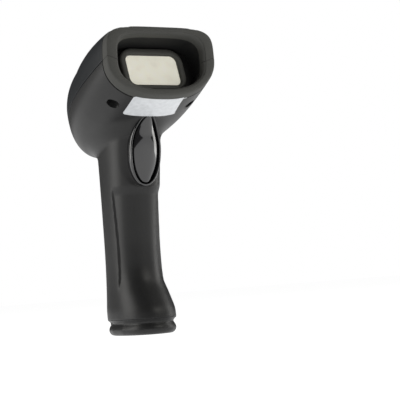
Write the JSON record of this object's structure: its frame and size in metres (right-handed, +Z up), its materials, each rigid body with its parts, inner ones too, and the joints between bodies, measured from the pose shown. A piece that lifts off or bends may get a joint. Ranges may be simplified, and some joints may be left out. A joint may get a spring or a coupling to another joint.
{
  "type": "handheld barcode scanner",
  "caption": "Pistol-grip laser barcode scanner: tilted head with a grey nose bumper and window, gloss trigger, indicator panel, plain handle and a butt with a cable socket.",
  "frame": {"origin": "on the handle's axis, in the flat face of the butt that the scanner stands on", "axes": "+Z up the handle, -Y out of the nose, X sideways with X = 0 the plane of symmetry"},
  "size_m": [0.0706, 0.0948, 0.1708],
  "materials": {
    "dark_cover": "fine textured black-grey ABS",
    "grey_shell": "fine textured dark grey ABS",
    "bumper_grey": "textured mid-grey rubberised plastic",
    "tunnel_black": "matt black",
    "bezel_grey": "textured mid-grey ABS",
    "window_clear": "clear acrylic pane",
    "gasket_rubber": "closed-cell foam",
    "gloss_black": "high-gloss black",
    "panel_dark": "fine textured dark grey",
    "lamp_smoke": "smoked light pipe",
    "silver_grille": "silver painted",
    "badge_silver": "satin silver",
    "badge_red": "plain red enamel, no lettering",
    "label_white": "blank white polyester label",
    "screw_steel": "zinc plated",
    "pin_steel": "ground",
    "spring_steel": "spring temper",
    "board_green": "solder-masked circuit board",
    "chip_black": "moulded epoxy",
    "connector_ivory": "moulded nylon",
    "engine_grey": "die cast",
    "laser_brass": "turned",
    "lens_glass": "polished",
    "mirror_silver": "front-silvered",
    "magnet_nickel": "nickel plated",
    "coil_copper": "enamelled copper winding",
    "flex_amber": "polyimide film",
    "contact_gold": "gold plated",
    "nylon_white": "moulded nylon"
  },
  "bodies": {
    "housing": {"upper_shell": "dark_cover", "lower_shell": "grey_shell", "butt_cap": "grey_shell", "nose_bumper_upper": "bumper_grey", "nose_bumper_lower": "bumper_grey", "nose_tunnel": "tunnel_black", "window_bezel": "bezel_grey", "scan_window": "window_clear", "window_gasket": "gasket_rubber", "trigger_bezel": "gloss_black", "trigger_pivot_pin": "pin_steel", "trigger_return_spring": "spring_steel", "switch_board": "board_green", "microswitch": "chip_black", "indicator_panel": "panel_dark", "light_pipe": "lamp_smoke", "indicator_leds": "connector_ivory", "indicator_board": "board_green", "indicator_screws": "screw_steel", "beeper_grille": "silver_grille", "beeper": "chip_black", "badge_plate": "badge_silver", "badge_inlay": "badge_red", "rating_label": "label_white", "cover_screws": "screw_steel", "butt_screws": "screw_steel", "engine_chassis": "engine_grey", "engine_board": "board_green", "shock_mounts": "gasket_rubber", "engine_screws": "screw_steel", "laser_module": "laser_brass", "laser_lens": "lens_glass", "mirror_pin": "pin_steel", "drive_coil": "coil_copper", "photodiode": "chip_black", "main_board": "board_green", "main_board_screws": "screw_steel", "decoder_chips": "chip_black", "flex_connectors": "connector_ivory", "flex_cable": "flex_amber", "interface_jack": "chip_black", "jack_contacts": "contact_gold"},
    "trigger_lever": {"trigger": "gloss_black"},
    "switch_button": {"switch_plunger": "nylon_white"},
    "scan_mirror_rotor": {"mirror_carrier": "nylon_white", "collecting_mirror": "mirror_silver", "scan_mirror": "mirror_silver", "mirror_magnet": "magnet_nickel"}
  },
  "joints": [
    {"name": "trigger_pull", "type": "hinge", "parent": "housing", "child": "trigger_lever", "pos_m": [0, -0.023, 0.1185], "axis": [1, 0, 0], "range_deg": [0, 5.5], "stiffness_Nm_per_rad": 0.35, "springref_deg": -8.59, "deforming": ["trigger_return_spring"]},
    {"name": "switch_press", "type": "slide", "parent": "housing", "child": "switch_button", "axis": [0, 1, 0], "range_m": [0, 0.0009]},
    {"name": "mirror_scan", "type": "hinge", "parent": "housing", "child": "scan_mirror_rotor", "pos_m": [0, -0.00054, 0.13383], "axis": [0, 0.3223, 0.9466], "range_deg": [-8, 8], "stiffness_Nm_per_rad": 0.002}
  ],
  "couplings": [
    {"joint": "switch_press", "follows": "trigger_pull", "m_per_rad": 0.009}
  ]
}
